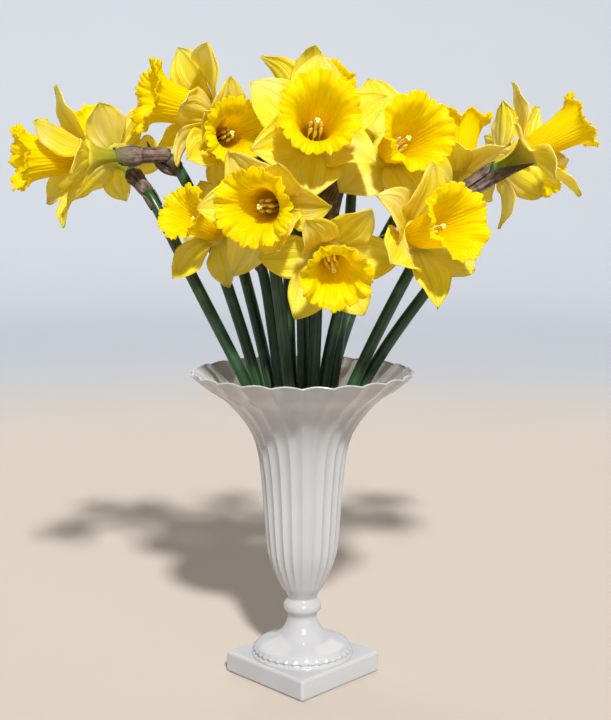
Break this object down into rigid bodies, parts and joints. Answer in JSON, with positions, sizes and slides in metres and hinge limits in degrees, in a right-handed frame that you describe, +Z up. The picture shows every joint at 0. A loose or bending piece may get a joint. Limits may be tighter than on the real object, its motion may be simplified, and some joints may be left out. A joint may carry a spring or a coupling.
{
  "type": "vase of daffodil flowers",
  "caption": "White fluted trumpet vase on a square plinth, filled with cut yellow trumpet daffodils standing in water.",
  "frame": {"origin": "centre of the plinth's underside, on the surface that the vase stands on", "axes": "+Z up along the vase; -Y is the front, where the plinth's corner points; +X is to the right seen from the front"},
  "size_m": [0.3317, 0.1939, 0.3651],
  "materials": {
    "glaze": "glossy",
    "water": "clear",
    "stem": "satin, with a blue-green bloom",
    "spathe": "matte, papery",
    "tepal": "matte, translucent",
    "corona": "matte, translucent"
  },
  "bodies": {
    "root": {"vase": "glaze", "water": "water", "flower_01_stem": "stem", "flower_01_spathe": "spathe", "flower_01_tepals": "tepal", "flower_01_corona": "corona", "flower_02_stem": "stem", "flower_02_spathe": "spathe", "flower_02_tepals": "tepal", "flower_02_corona": "corona", "flower_03_stem": "stem", "flower_03_spathe": "spathe", "flower_03_tepals": "tepal", "flower_03_corona": "corona", "flower_04_stem": "stem", "flower_04_spathe": "spathe", "flower_04_tepals": "tepal", "flower_04_corona": "corona", "flower_05_stem": "stem", "flower_05_spathe": "spathe", "flower_05_tepals": "tepal", "flower_05_corona": "corona", "flower_06_stem": "stem", "flower_06_spathe": "spathe", "flower_06_tepals": "tepal", "flower_06_corona": "corona", "flower_07_stem": "stem", "flower_07_spathe": "spathe", "flower_07_tepals": "tepal", "flower_07_corona": "corona", "flower_08_stem": "stem", "flower_08_spathe": "spathe", "flower_08_tepals": "tepal", "flower_08_corona": "corona", "flower_09_stem": "stem", "flower_09_spathe": "spathe", "flower_09_tepals": "tepal", "flower_09_corona": "corona", "flower_10_stem": "stem", "flower_10_spathe": "spathe", "flower_10_tepals": "tepal", "flower_10_corona": "corona", "flower_11_stem": "stem", "flower_11_spathe": "spathe", "flower_11_tepals": "tepal", "flower_11_corona": "corona", "flower_12_stem": "stem", "flower_12_spathe": "spathe", "flower_12_tepals": "tepal", "flower_12_corona": "corona", "flower_13_stem": "stem", "flower_13_spathe": "spathe", "flower_13_tepals": "tepal", "flower_13_corona": "corona", "flower_14_stem": "stem", "flower_14_spathe": "spathe", "flower_14_tepals": "tepal", "flower_14_corona": "corona"}
  },
  "joints": []
}
